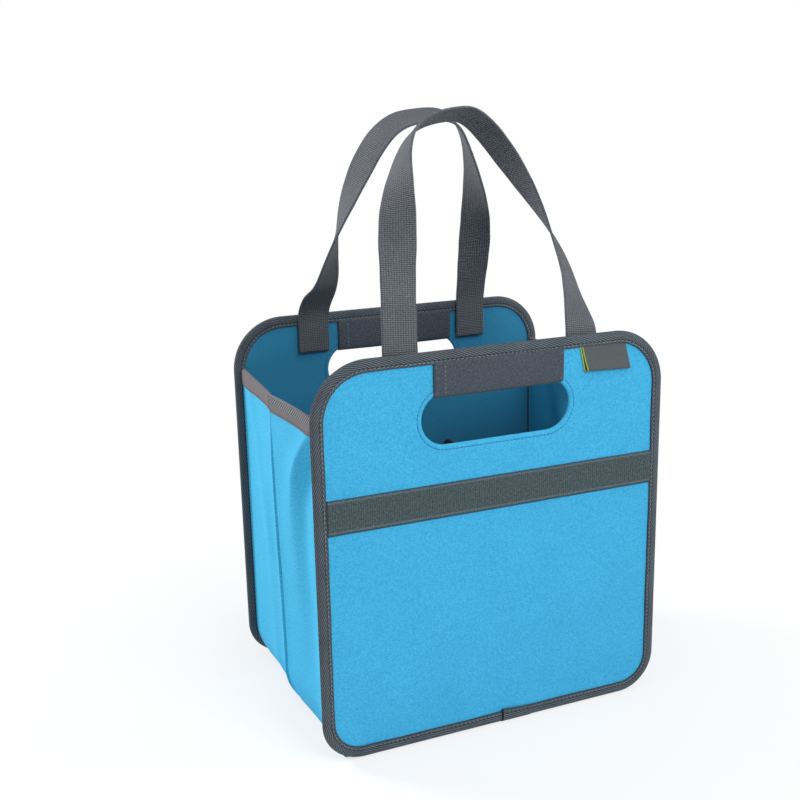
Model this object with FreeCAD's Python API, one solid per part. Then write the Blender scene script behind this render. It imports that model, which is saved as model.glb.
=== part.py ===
import FreeCAD, Part
import math
import os
from FreeCAD import Vector

# Six-bottle carrier bag of stiff fabric panels, in millimetres.
# X runs across the front, Y from front to back, Z up from the floor.
# The origin is on the floor, under the middle of the bag.

# Panels and the ribbon round them
panel_width = 265.0
panel_height = 278.0
bag_depth = 183.0
top_corner_radius = 39.5
bottom_corner_radius = 29.0
panel_thick = 3.0
ribbon_thick = 0.9
ribbon_face = 8.5
ribbon_bevel = 1.3
lap_start = 2.7
lap_length = 24.0
lap_thick = 0.5
seat_gap = 0.2

# Hand hole and the sleeve round its grip
hole_width = 112.0
hole_height = 36.0
hole_below_top = 28.0
hole_edge_bevel = 0.7
sleeve_width = 97.5
sleeve_offset = 1.5
sleeve_thick = 1.3
sleeve_hang = 3.5
sleeve_round = 2.4

# Elastic band and edge label
band_width = 24.3
band_below_hole = 26.2
band_thick = 1.2
band_round = 0.5
label_width = 37.0
label_drop = 16.5
label_from_side = 48.0
label_sheet = 0.5
label_loop = 1.4

# Side walls: fabric gussets with a soft crease down the middle
gusset_thick = 1.6
gusset_below_top = 38.0
gusset_low = 3.0
gusset_inset = 6.0
tuck_height = 30.0
tuck_inset = 11.0
tuck_steps = 4
crease_bulge_low = 1.5
crease_bulge_high = 4.3
half_dip = 1.6
hem_height = 12.0
hem_thick = 0.8
crease_sag = 2.0

# Base board and the dividers that make the six cells
base_thick = 4.0
base_edge_round = 3.0
divider_thick = 3.0
divider_height = 165.0
divider_corner = 14.0
wall_clearance = 0.3
slot_clearance = 0.3
columns = 3

# Webbing handles
strap_width = 25.0
strap_thick = 1.8
strap_spacing = 136.0
strap_rise = 162.0
strap_seam = 30.0
strap_free = 6.0
strap_parting = 6.0
strap_lift = 8.0
strap_turn = math.radians(112)
strap_stations = 24

# Sizes that follow from them
half_width = panel_width / 2
half_depth = bag_depth / 2
panel_inset = ribbon_thick + seat_gap
bound_thick = panel_thick + 2 * panel_inset
inner_face = half_depth - bound_thick
panel_out = half_depth - panel_inset
hole_top = panel_height - hole_below_top
hole_bottom = hole_top - hole_height
band_bottom = hole_bottom - band_below_hole - band_width
gusset_top = panel_height - gusset_below_top
strap_plane = inner_face - seat_gap - strap_thick / 2
strap_reach = strap_plane - strap_parting
ribbon_inner = ribbon_face + seat_gap

# How far a cutting block runs past the face it cuts
past = 1.0

# Each handle's line as shares: across the half spacing, inward of the seam, up the rise
front_line = [(-0.88, 0.28, 0.59), (-0.52, 0.77, 0.88), (0.1, 0.89, 0.92),
              (0.41, 0.93, 0.92), (1.32, 0.85, 0.36), (1.13, 0.32, 0.15)]
back_line = [(-0.94, 0.33, 0.14), (-1.09, 0.78, 0.38), (-0.58, 0.94, 0.9),
             (-0.05, 0.9, 0.91), (0.5, 0.73, 0.93), (1.0, 0.28, 0.47)]

# Where the left and the right leg turn, as shares of the way to the middle
front_turns = [(0.21, 0.82), (0.0, 0.84)]
back_turns = [(0.03, 0.77), (0.0, 0.79)]


def mirrored_y(shape):
    return shape.mirror(Vector(0, 0, 0), Vector(0, 1, 0))


def mirrored_x(shape):
    return shape.mirror(Vector(0, 0, 0), Vector(1, 0, 0))


def box(x0, x1, y0, y1, z0, z1):
    return Part.makeBox(x1 - x0, y1 - y0, z1 - z0, Vector(x0, y0, z0))


def quarter(cx, cz, radius, start):
    """The three points of a quarter circle in the XZ plane, anticlockwise from start."""
    points = []
    for step in (0, 45, 90):
        angle = math.radians(start + step)
        points.append(Vector(cx + radius * math.cos(angle), 0, cz + radius * math.sin(angle)))
    return points


def slab(inset, y, thick):
    """A plate with the panel's outline, moved in by inset, from y to y + thick."""
    side, low, high = half_width - inset, inset, panel_height - inset
    low_radius = bottom_corner_radius - inset
    top_radius = top_corner_radius - inset
    corners = [quarter(side - low_radius, low + low_radius, low_radius, -90),
               quarter(side - top_radius, high - top_radius, top_radius, 0),
               quarter(-side + top_radius, high - top_radius, top_radius, 90),
               quarter(-side + low_radius, low + low_radius, low_radius, 180)]
    edges = []
    for here, following in zip(corners, corners[1:] + corners[:1]):
        edges.append(Part.Arc(*here).toShape())
        edges.append(Part.LineSegment(here[2], following[0]).toShape())
    plate = Part.Face(Part.Wire(edges)).extrude(Vector(0, thick, 0))
    plate.translate(Vector(0, y, 0))
    return plate


def rim_edges(shape, planes):
    """Edges that lie flat in one of the given Y planes."""
    found = []
    for edge in shape.Edges:
        low, high = edge.BoundBox.YMin, edge.BoundBox.YMax
        if any(abs(low - y) < 0.01 and abs(high - y) < 0.01 for y in planes):
            found.append(edge)
    return found


def stadium(width, height, bottom, y, thick):
    """A bar with round ends, through the panel."""
    radius = height / 2
    reach = width / 2 - radius
    middle = box(-reach, reach, y, y + thick, bottom, bottom + height)
    for side in (-1, 1):
        end = Part.makeCylinder(radius, thick, Vector(side * reach, y, bottom + radius), Vector(0, 1, 0))
        middle = middle.fuse(end)
    return middle.removeSplitter()


def front_panel():
    """Stiff board in its fabric, with the hand hole and its eased edge."""
    board = slab(panel_inset, -panel_out, panel_thick)
    hole = stadium(hole_width, hole_height, hole_bottom, -panel_out - past, panel_thick + 2 * past)
    board = board.cut(hole)
    rims = []
    for edge in rim_edges(board, (-panel_out, -panel_out + panel_thick)):
        if edge.BoundBox.XLength < hole_width and hole_bottom - past < edge.BoundBox.ZMin:
            if edge.BoundBox.ZMax < hole_top + past and abs(edge.BoundBox.Center.x) < hole_width / 2:
                rims.append(edge)
    return board.makeChamfer(hole_edge_bevel, rims)


def front_binding():
    """Ribbon folded over the panel's whole edge, its ends lapped at the bottom."""
    ring = slab(0, -half_depth, bound_thick)
    ring = ring.makeChamfer(ribbon_bevel, rim_edges(ring, (-half_depth, -inner_face)))
    ring = ring.cut(slab(ribbon_face, -half_depth - past, bound_thick + 2 * past))
    lap = box(lap_start, lap_start + lap_length, -half_depth - lap_thick, -half_depth + ribbon_thick / 2,
              ribbon_bevel, ribbon_face)
    groove = slab(ribbon_thick, -half_depth + ribbon_thick, panel_thick + 2 * seat_gap)
    return ring.fuse(lap).cut(groove).removeSplitter()


def front_grip_sleeve():
    """Padded sleeve round the bar above the hand hole, its fold following the hole's round ends."""
    top = panel_height - ribbon_inner
    bottom = hole_top - sleeve_hang
    x0 = sleeve_offset - sleeve_width / 2
    x1 = sleeve_offset + sleeve_width / 2
    y0 = -panel_out - seat_gap - sleeve_thick
    y1 = -panel_out + panel_thick + seat_gap + sleeve_thick
    body = box(x0, x1, y0, y1, bottom, top)
    low_edges = [e for e in body.Edges
                 if e.BoundBox.ZMax < bottom + seat_gap and e.BoundBox.XLength > sleeve_thick]
    body = body.makeFillet(sleeve_round, low_edges)
    bar = box(x0 - past, x1 + past, y0 + sleeve_thick, y1 - sleeve_thick, bottom - past, top + past)
    opening = stadium(hole_width - 2 * seat_gap, hole_height - 2 * seat_gap, hole_bottom + seat_gap,
                      -half_depth, bound_thick)
    return body.cut(bar.cut(opening))


def elastic_band():
    """Flat elastic across the front, both ends at the ribbon."""
    reach = half_width - ribbon_inner
    face = -panel_out - seat_gap
    band = box(-reach, reach, face - band_thick, face, band_bottom, band_bottom + band_width)
    long_edges = [e for e in band.Edges
                  if e.BoundBox.XLength > reach and e.BoundBox.YMax < face - band_thick / 2]
    return band.makeFillet(band_round, long_edges)


def edge_label():
    """Blank woven label folded into a loop, its top cut to the ribbon's inner edge."""
    face = -panel_out - seat_gap
    top = panel_height - ribbon_inner
    bottom = top - label_drop
    radius = label_loop / 2
    loops = []
    for shrink in (0.0, label_sheet):
        r = radius - shrink
        middle = bottom + radius
        back = face - shrink
        points = [Vector(0, back, top), Vector(0, back, middle), Vector(0, face - radius, middle - r),
                  Vector(0, back - 2 * r, middle), Vector(0, back - 2 * r, top)]
        sides = [Part.LineSegment(points[0], points[1]).toShape(),
                 Part.Arc(points[1], points[2], points[3]).toShape(),
                 Part.LineSegment(points[3], points[4]).toShape(),
                 Part.LineSegment(points[4], points[0]).toShape()]
        loops.append(Part.Face(Part.Wire(sides)).extrude(Vector(label_width, 0, 0)))
    label = loops[0].cut(loops[1])
    label.translate(Vector(half_width - label_from_side - label_width / 2, 0, 0))
    return label.common(slab(ribbon_inner, face - 2 * label_loop, 3 * label_loop))


def end_inset(z):
    """How far in from the panel's side the side wall's ends stand at height z."""
    tuck = max(0.0, 1 - z / tuck_height)
    return gusset_inset + tuck_inset * tuck * tuck


def crease_bulge(z):
    """How far the crease stands out past the side wall's ends at height z."""
    share = z / gusset_top
    return crease_bulge_low + (crease_bulge_high - crease_bulge_low) * share


def crease_reach(z):
    """X of the side wall's inner face at the crease."""
    return half_width - end_inset(z) + crease_bulge(z) - gusset_thick


def dip_reach(z):
    """X of the side wall's inner face where each half dips inward."""
    return half_width - end_inset(z) + crease_bulge(z) / 2 - half_dip - gusset_thick


def gusset_section(z, outward, inward, end_gap):
    """Closed wire across the left side wall at height z, both halves dipping to the crease."""
    reach = inner_face - end_gap
    end_x = -half_width + end_inset(z)
    crease_x = end_x - crease_bulge(z)
    dip_x = (end_x + crease_x) / 2 + half_dip
    outer = [Vector(end_x - outward, -reach, z), Vector(dip_x - outward, -reach / 2, z),
             Vector(crease_x - outward, 0, z), Vector(dip_x - outward, reach / 2, z),
             Vector(end_x - outward, reach, z)]
    shift = Vector(outward + inward, 0, 0)
    inner = [point + shift for point in outer]
    edges = [Part.Arc(outer[0], outer[1], outer[2]).toShape(),
             Part.Arc(outer[2], outer[3], outer[4]).toShape(),
             Part.LineSegment(outer[4], inner[4]).toShape(),
             Part.Arc(inner[4], inner[3], inner[2]).toShape(),
             Part.Arc(inner[2], inner[1], inner[0]).toShape(),
             Part.LineSegment(inner[0], outer[0]).toShape()]
    return Part.Wire(edges)


def side_wall(outward, inward, heights, end_gap=seat_gap):
    """The left side wall's sheet, thickened outward and inward from its outer face."""
    wires = [gusset_section(z, outward, inward, end_gap) for z in heights]
    return Part.makeLoft(wires, True, True)


def wall_heights():
    """Heights of the side wall's sections: close together where it tucks in at the foot."""
    step = (tuck_height - gusset_low) / tuck_steps
    foot = [gusset_low + step * i for i in range(tuck_steps + 1)]
    return foot + [gusset_top + hem_thick]


def under_top_line(lift):
    """All that lies below the side wall's top line, which sags a little at the crease."""
    top = gusset_top + lift
    ends = [Vector(0, -half_depth, top), Vector(0, half_depth, top),
            Vector(0, half_depth, -past), Vector(0, -half_depth, -past)]
    sag = Part.Arc(ends[0], Vector(0, 0, top - crease_sag), ends[1])
    sides = [sag.toShape()]
    for here, following in zip(ends[1:], ends[2:] + ends[:1]):
        sides.append(Part.LineSegment(here, following).toShape())
    block = Part.Face(Part.Wire(sides)).extrude(Vector(panel_width, 0, 0))
    block.translate(Vector(-panel_width, 0, 0))
    return block


def left_gusset():
    return side_wall(0, gusset_thick, wall_heights()).common(under_top_line(0))


def left_gusset_hem():
    """Ribbon folded over the side wall's top edge."""
    heights = [gusset_top - 2 * hem_height, gusset_top + 2 * hem_thick]
    cover = hem_thick + seat_gap
    band = side_wall(cover, gusset_thick + cover, heights, 2 * seat_gap)
    band = band.common(under_top_line(cover)).cut(under_top_line(cover - hem_height))
    groove = side_wall(seat_gap, gusset_thick + seat_gap, heights, 0).common(under_top_line(seat_gap))
    return band.cut(groove)


def base_board():
    """Stiff base between the side walls, rounded under along them, flat on the floor."""
    reach = dip_reach(gusset_low) - wall_clearance
    side = inner_face - seat_gap
    board = box(-reach, reach, -side, side, 0, base_thick)
    lower = [e for e in board.Edges if e.BoundBox.ZMax < seat_gap and e.BoundBox.YLength > side]
    return board.makeFillet(base_edge_round, lower)


def divider(length):
    """Upright board along X, standing on the base, its top corners rounded."""
    floor = base_thick + seat_gap
    board = box(-length / 2, length / 2, -divider_thick / 2, divider_thick / 2, floor, divider_height)
    upper = [e for e in board.Edges
             if e.BoundBox.ZMin > divider_height - seat_gap and e.BoundBox.YLength > seat_gap]
    return board.makeFillet(divider_corner, upper)


def slot(x, low, high):
    half = divider_thick / 2 + slot_clearance
    return box(x - half, x + half, -divider_thick, divider_thick, low, high)


def cell_lines():
    """X of each cross divider: equal columns between the side walls."""
    clear = 2 * crease_reach(divider_height)
    return [clear * (i + 1) / columns - clear / 2 for i in range(columns - 1)]


def half_lap():
    """Height where the long and the cross dividers stop in each other's slots."""
    return (base_thick + divider_height) / 2


def long_divider():
    """Divider along the middle, its ends following the side walls, slotted from above."""
    board = divider(2 * (crease_reach(divider_height) - wall_clearance))
    wall = side_wall(half_width, gusset_thick + wall_clearance, wall_heights())
    board = board.cut(wall).cut(mirrored_x(wall))
    for x in cell_lines():
        board = board.cut(slot(x, half_lap(), divider_height + past))
    return board


def cross_divider(x):
    """Divider from panel to panel, slotted from below over the long one."""
    board = divider(2 * (inner_face - wall_clearance))
    board = board.cut(slot(0, 0, half_lap() + seat_gap))
    board.rotate(Vector(0, 0, 0), Vector(0, 0, 1), 90)
    board.translate(Vector(x, 0, 0))
    return board


def handle_line(line, side):
    """The free webbing's centre line, leaving the panel straight up at both ends."""
    across = strap_spacing / 2
    seam_y = side * strap_plane
    low, high = panel_height - strap_free, panel_height + strap_lift
    poles = [Vector(-across, seam_y, low), Vector(-across, seam_y, high)]
    for share_x, share_in, share_up in line:
        inward = seam_y - side * share_in * strap_reach
        poles.append(Vector(share_x * across, inward, panel_height + share_up * strap_rise))
    poles += [Vector(across, seam_y, high), Vector(across, seam_y, low)]
    curve = Part.BSplineCurve()
    curve.buildFromPoles(poles, False, 3)
    return curve


def turn_at(share, span):
    """Turn of the webbing, in radians, at a share of the way from its end to the middle."""
    step = min(1.0, max(0.0, (share - span[0]) / (span[1] - span[0])))
    return strap_turn * step * step * (3 - 2 * step)


def strap_section(curve, share, turns, side):
    """Rectangle across the webbing at a share of its length, turned about the centre line."""
    distance = share * curve.length()
    u = curve.parameterAtDistance(distance, curve.FirstParameter)
    centre = curve.value(u)
    along = Vector(*curve.tangent(u)[0]).normalize()
    outward = along.cross(Vector(0, 1, 0)).normalize()
    inward = outward.cross(along) * -side
    turn = turn_at(2 * min(share, 1 - share), turns[0] if share < 0.5 else turns[1])
    across = outward * math.cos(turn) + inward * math.sin(turn)
    through = along.cross(across)
    corners = []
    for a, b in ((1, 1), (-1, 1), (-1, -1), (1, -1)):
        corners.append(centre + across * (a * strap_width / 2) + through * (b * strap_thick / 2))
    return Part.makePolygon(corners + corners[:1])


def handle(line, turns, side):
    """One strip of webbing: sewn flat behind the panel, a turn over, the arch, the turn back."""
    curve = handle_line(line, side)
    shares = [i / (strap_stations - 1) for i in range(strap_stations)]
    wires = [strap_section(curve, share, turns, side) for share in shares]
    down = Vector(0, 0, strap_free - strap_seam)
    wires = [wires[0].translated(down)] + wires + [wires[-1].translated(down)]
    return Part.makeLoft(wires, True, True)


def all_pieces():
    pieces = {
        "front_panel": front_panel(),
        "front_binding": front_binding(),
        "front_grip_sleeve": front_grip_sleeve(),
        "front_elastic_band": elastic_band(),
        "edge_label": edge_label(),
        "front_handle": handle(front_line, front_turns, -1),
        "back_handle": handle(back_line, back_turns, 1),
        "left_gusset": left_gusset(),
        "left_gusset_hem": left_gusset_hem(),
        "base_board": base_board(),
        "long_divider": long_divider(),
    }
    for name in ("panel", "binding", "grip_sleeve"):
        pieces["back_" + name] = mirrored_y(pieces["front_" + name])
    for name in ("gusset", "gusset_hem"):
        pieces["right_" + name] = mirrored_x(pieces["left_" + name])
    for name, x in zip(("left", "right"), cell_lines()):
        pieces["cross_divider_" + name] = cross_divider(x)
    return pieces


os.makedirs("parts", exist_ok=True)
for name, shape in all_pieces().items():
    print(name, len(shape.Solids), shape.isValid(), round(shape.Volume / 1000, 2))
    shape.Solids[0].exportStep("parts/" + name + ".step")
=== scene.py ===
import math
import bmesh
import bpy
import numpy as np
from mathutils import Matrix, Vector

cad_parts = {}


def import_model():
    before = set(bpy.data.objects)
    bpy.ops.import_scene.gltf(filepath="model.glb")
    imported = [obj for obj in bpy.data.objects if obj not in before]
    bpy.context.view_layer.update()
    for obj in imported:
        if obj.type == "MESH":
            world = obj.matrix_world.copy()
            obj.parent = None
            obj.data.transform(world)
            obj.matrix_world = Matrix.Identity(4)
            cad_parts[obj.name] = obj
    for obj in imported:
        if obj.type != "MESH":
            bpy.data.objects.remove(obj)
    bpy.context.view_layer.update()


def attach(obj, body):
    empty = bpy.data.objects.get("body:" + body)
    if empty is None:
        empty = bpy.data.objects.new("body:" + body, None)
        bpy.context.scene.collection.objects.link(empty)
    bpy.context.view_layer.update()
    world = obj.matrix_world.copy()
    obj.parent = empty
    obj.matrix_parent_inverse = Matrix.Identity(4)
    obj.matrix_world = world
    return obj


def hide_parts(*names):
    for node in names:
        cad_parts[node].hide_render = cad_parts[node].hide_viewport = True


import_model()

# Lengths are millimetres until a mesh is made, and M turns them into metres. The lights are in metres.
M = 0.001
RNG = np.random.default_rng(7)

# Panels: half width, height and half depth, corner radii, the board's middle plane and half thickness
HALF_W, TALL, HALF_D = 132.5, 278.0, 91.5
TOP_R, LOW_R = 39.5, 29.0
PANEL_MID, PANEL_HALF = 88.9, 1.5
# Hand hole: where its round ends are centred, their radius and height
HOLE_REACH, HOLE_R, HOLE_Z = 38.0, 18.0, 232.0
# Ribbon's lap at the bottom: where it starts, its length and how much fuller it is
LAP_X, LAP_LONG, LAP_FULL = 2.7, 24.0, 0.75
# Side walls: ends and how they tuck in at the foot, the bulge and the dips, then the ribbon over the top
WALL_END, WALL_INSET, TUCK_TALL, TUCK_IN = 86.1, 6.0, 30.0, 11.0
BULGE_LOW, BULGE_RISE, WALL_DIP, DIP_EASE = 1.5, 2.8, 1.6, 1.3
GUSSET_TOP, CREASE_SAG, SHEET_T = 240.0, 2.0, 1.3
FOOT_R, FOOT_LONG = 2.6, 6.0
HEM_TALL, HEM_REAR, HEM_COVER, HEM_BODY = 10.8, 8.3, 0.95, 1.6
# Handles: webbing, half the spacing, rise, plane of the seam and how far inward the arch may reach
STRAP_W, STRAP_T, STRAP_HALF, STRAP_RISE = 25.0, 1.8, 68.0, 162.0
STRAP_PLANE, STRAP_REACH = 85.2, 79.2
STRAP_FREE, STRAP_SEAM = 6.0, 30.0
# Elastic band: its edges, half length and the length of its section's face
BAND_LOW, BAND_HIGH, BAND_REACH, BAND_WIDE = 163.5, 187.8, 123.9, 26.2
# Weaves: the hem's twill edge and ticks, the label's bright edge, the ribbon's turn from its inner edge
TWILL_EDGE, TICK = 4.2, 3.3
SELVEDGE, STITCH_REACH = 0.9, 3.2


def srgb(*rgb):
    """Linear colour of an 8-bit screen colour."""
    out = []
    for c in rgb:
        c = c / 255
        out.append(c / 12.92 if c <= 0.04045 else ((c + 0.055) / 1.055) ** 2.4)
    return (*out, 1.0)


# Camera at the photograph's place
CAM_AT = (-346.81, -738.44, 426.54)
CAM_RIGHT = (0.91762, -0.39682, -0.02257)
CAM_UP = (0.11733, 0.21618, 0.96928)
CAM_AHEAD = (0.37974, 0.89208, -0.24493)
FOCAL_PX, FRAME_PX, SENSOR = 1128.52, 800, 36.0


def add_camera():
    data = bpy.data.cameras.new("camera")
    data.sensor_width = SENSOR
    data.lens = FOCAL_PX / FRAME_PX * SENSOR
    cam = bpy.data.objects.new("camera", data)
    bpy.context.scene.collection.objects.link(cam)
    back = [-v for v in CAM_AHEAD]
    turn = Matrix([CAM_RIGHT, CAM_UP, back]).transposed().to_4x4()
    cam.matrix_world = Matrix.Translation(Vector(CAM_AT) * M) @ turn
    bpy.context.scene.camera = cam


# --- Materials ---

class Nodes:
    """A material's nodes, with the few sums the weaves need."""

    def __init__(self, name, roughness, sheen=0.0, specular=0.3):
        self.mat = bpy.data.materials.new(name)
        self.mat.use_nodes = True
        self.tree = self.mat.node_tree
        self.shader = self.tree.nodes["Principled BSDF"]
        self.shader.inputs["Roughness"].default_value = roughness
        self.shader.inputs["Specular IOR Level"].default_value = specular
        self.shader.inputs["Sheen Weight"].default_value = sheen
        self.shader.inputs["Sheen Roughness"].default_value = 0.5
        lay = self.tree.nodes.new("ShaderNodeAttribute")
        lay.attribute_name = "lay"
        split = self.tree.nodes.new("ShaderNodeSeparateXYZ")
        self.tree.links.new(lay.outputs["Vector"], split.inputs[0])
        self.lay = lay.outputs["Vector"]
        self.u, self.v, self.w = split.outputs

    def put(self, node, key, value):
        if isinstance(value, bpy.types.NodeSocket):
            self.tree.links.new(value, node.inputs[key])
        else:
            node.inputs[key].default_value = value

    def math(self, op, a, b=0.0, c=0.0):
        node = self.tree.nodes.new("ShaderNodeMath")
        node.operation = op
        for i, value in enumerate((a, b, c)):
            self.put(node, i, value)
        return node.outputs[0]

    def plus(self, a, b):
        return self.math("ADD", a, b)

    def minus(self, a, b):
        return self.math("SUBTRACT", a, b)

    def times(self, a, b):
        return self.math("MULTIPLY", a, b)

    def wave(self, x, pitch):
        """From 0 to 1 and back once a pitch."""
        sine = self.math("SINE", self.times(x, 2 * math.pi / pitch))
        return self.math("MULTIPLY_ADD", sine, 0.5, 0.5)

    def noise(self, scale, detail=3.0, stretch=(1, 1, 1)):
        """Noise whose scale is in cells a millimetre."""
        node = self.tree.nodes.new("ShaderNodeMapping")
        node.inputs["Scale"].default_value = [s * scale for s in stretch]
        self.tree.links.new(self.lay, node.inputs["Vector"])
        tex = self.tree.nodes.new("ShaderNodeTexNoise")
        tex.inputs["Scale"].default_value = 1.0
        tex.inputs["Detail"].default_value = detail
        self.tree.links.new(node.outputs[0], tex.inputs["Vector"])
        return tex.outputs["Fac"]

    def spread(self, x, low, high, out_low=0.0, out_high=1.0):
        node = self.tree.nodes.new("ShaderNodeMapRange")
        for name, value in (("Value", x), ("From Min", low), ("From Max", high),
                            ("To Min", out_low), ("To Max", out_high)):
            self.put(node, name, value)
        return node.outputs[0]

    def mix(self, share, a, b):
        node = self.tree.nodes.new("ShaderNodeMix")
        node.data_type = "RGBA"
        self.put(node, 0, share)
        self.put(node, 6, a)
        self.put(node, 7, b)
        return node.outputs[2]

    def clouded(self, tone, dark, cells, share, high=0.65):
        """The tone with broad darker clouds, so many cells a millimetre."""
        return self.mix(self.spread(self.noise(cells, 2.0), 0.35, high, 0.0, share), tone, dark)

    def finish(self, colour, height, depth):
        """Colour and a bump of the given depth in millimetres."""
        self.tree.links.new(colour, self.shader.inputs["Base Color"])
        bump = self.tree.nodes.new("ShaderNodeBump")
        bump.inputs["Distance"].default_value = depth * M
        self.tree.links.new(height, bump.inputs["Height"])
        self.tree.links.new(bump.outputs[0], self.shader.inputs["Normal"])
        return self.mat


def plain_weave(name, colour, dark, light, pitch=0.8, fleck=0.5, inside=None):
    """Canvas: over-and-under threads with heathered flecks; inside, when given, is painted shade mixed onto
    a panel's inner face.
    """
    n = Nodes(name, roughness=0.88)
    across = n.wave(n.u, pitch)
    along = n.wave(n.v, pitch)
    thread = n.times(n.math("SINE", n.times(n.u, math.pi / pitch)),
                     n.math("SINE", n.times(n.v, math.pi / pitch)))
    height = n.plus(n.times(n.math("ABSOLUTE", thread), 0.6), n.times(n.plus(across, along), 0.2))
    weft = n.noise(1.5, 2.0, (0.4, 1.3, 0.6))
    warp = n.noise(1.5, 2.0, (1.3, 0.4, 0.6))
    flecks = n.times(n.plus(weft, warp), 0.5)
    tone = n.mix(n.spread(flecks, 0.38, 0.62), dark, light)
    tone = n.clouded(n.mix(fleck, colour, tone), dark, 0.035, 0.1)
    tone = n.mix(n.spread(height, 0.15, 0.6, 0.28, 0.0), tone, dark)
    # Painted shade: a panel's inner face is mixed towards the darker inside colour, for the shade inside the
    # bag.
    if inside is not None:
        inner = n.math("LESS_THAN", n.math("ABSOLUTE", n.w), PANEL_MID)
        tone = n.mix(n.times(inner, 0.75), tone, inside)
    return n.finish(tone, height, depth=0.1)


def twill(name, dark, light, cut=None):
    """Herringbone ribbon: steep ribs that turn back at the stitch line, with painted shade along the inner
    edge of its outer face; its raw end, if any, is at cut.
    """
    pitch, column, steep = 3.3, 7.0, 2.2
    n = Nodes(name, roughness=0.8, sheen=0.06)
    place = n.math("PINGPONG", n.plus(n.v, 2 * column - STITCH_REACH), column)
    rib = n.wave(n.minus(n.u, n.times(place, steep)), pitch)
    thread = n.wave(n.minus(n.v, n.times(n.u, 0.5)), 0.55)
    turn = n.math("ABSOLUTE", n.minus(place, column / 2))
    # Painted shade: the second factor darkens and flattens the ribs towards the inner edge of the outer
    # face, for the contact shadow where the ribbon meets the panel.
    seam = n.times(n.spread(turn, column / 2 - 0.6, column / 2, 1.0, 0.2),
                   n.spread(n.v, 0.5, 1.5, 0.15, 1.0))
    height = n.times(n.plus(rib, n.times(thread, 0.2)), seam)
    fuzz = n.noise(1.3)
    share = n.times(n.spread(height, 0.12, 1.1, 0.05, 1.1), n.spread(fuzz, 0.32, 0.68, 0.55, 1.35))
    tone = n.clouded(n.mix(share, dark, light), dark, 0.05, 0.25, high=0.7)
    if cut is not None:
        tone = n.mix(n.math("LESS_THAN", n.u, cut), tone, srgb(16, 20, 24))
    return n.finish(tone, height, depth=0.38)


def hem_cloth(name, plain, plain_dark, dark, light):
    """Fine-ribbed ribbon whose front half shows a twill edge along its top."""
    n = Nodes(name, roughness=0.85, sheen=0.05)
    ribs = n.math("MULTIPLY_ADD", n.wave(n.v, 0.9), 0.6, n.times(n.wave(n.u, 0.8), 0.4))
    fuzz = n.spread(n.noise(0.9, 3.0, (0.6, 1.4, 1)), 0.3, 0.7, 0.5, 1.3)
    cloth = n.mix(n.times(n.spread(ribs, 0.1, 0.9), fuzz), plain_dark, plain)
    tick = n.wave(n.plus(n.u, n.times(n.v, 1.2)), TICK)
    edge = n.mix(n.times(n.spread(tick, 0.45, 0.95), fuzz), dark, light)
    top = n.times(n.math("GREATER_THAN", n.v, HEM_TALL - TWILL_EDGE),
                  n.math("LESS_THAN", n.v, HEM_TALL + TWILL_EDGE * 2))
    share = n.times(top, n.math("LESS_THAN", n.u, 0.3))
    ticks = n.times(n.times(tick, share), 0.8)
    height = n.plus(n.times(ribs, 0.4), ticks)
    return n.finish(n.mix(share, cloth, edge), height, depth=0.25)


def webbing(name, dark, light):
    """Strap webbing: raised picks in an even grid of rows and columns."""
    n = Nodes(name, roughness=0.7, sheen=0.1, specular=0.35)
    rows = n.wave(n.u, 1.35)
    columns = n.wave(n.v, 1.8)
    height = n.times(n.spread(rows, 0.05, 0.8, 0.25, 1.0), n.spread(columns, 0.05, 0.6, 0.5, 1.0))
    fuzz = n.noise(1.1, 3.0, (0.5, 1.2, 1))
    share = n.times(height, n.spread(fuzz, 0.3, 0.7, 0.65, 1.2))
    tone = n.clouded(n.mix(share, dark, light), dark, 0.04, 0.2)
    return n.finish(tone, height, depth=0.3)


def elastic(name, dark, light, edge):
    """Elastic: fine ribs and picks, a pale line inside each edge, and a dark line of painted shade along
    each edge.
    """
    n = Nodes(name, roughness=0.75, sheen=0.05)
    ribs = n.wave(n.plus(n.u, n.times(n.noise(0.12, 2.0, (1, 0.2, 1)), 2.0)), 1.6)
    picks = n.wave(n.v, 1.7)
    height = n.plus(n.times(ribs, 0.5), n.times(picks, 0.35))
    fuzz = n.noise(0.8, 3.0, (0.9, 0.7, 1))
    share = n.math("MULTIPLY_ADD", n.spread(fuzz, 0.34, 0.66), 0.65, n.times(height, 0.4))
    tone = n.mix(share, dark, light)
    half = BAND_WIDE / 2
    side = n.minus(half, n.math("ABSOLUTE", n.minus(n.v, half)))
    pale = n.spread(n.math("ABSOLUTE", n.minus(side, 2.9)), 0.2, 0.7, 0.35, 0.0)
    tone = n.mix(pale, tone, srgb(112, 124, 128))
    # Painted shade: the edge colour is a dark line along each edge, for the shade where the band meets the
    # panel.
    tone = n.mix(n.math("LESS_THAN", side, 1.5), tone, edge)
    return n.finish(tone, height, depth=0.2)


def label_weave(name, dark, light, edge):
    """Blank woven label with a bright selvedge down its open side."""
    n = Nodes(name, roughness=0.7, sheen=0.05)
    ribs = n.math("MULTIPLY_ADD", n.wave(n.v, 0.5), 0.6, n.times(n.wave(n.u, 0.6), 0.4))
    fuzz = n.noise(0.8, 3.0, (1.2, 0.5, 1))
    share = n.times(n.spread(ribs, 0.1, 0.95), n.spread(fuzz, 0.3, 0.7, 0.6, 1.2))
    tone = n.mix(n.math("LESS_THAN", n.u, SELVEDGE), n.mix(share, dark, light), edge)
    return n.finish(tone, ribs, depth=0.06)


def thread(name, colour, dark):
    """Two-ply sewing thread."""
    n = Nodes(name, roughness=0.6, specular=0.4)
    ply = n.wave(n.plus(n.u, n.v), 0.5)
    return n.finish(n.mix(ply, dark, colour), ply, depth=0.05)


# --- Meshes ---

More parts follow.
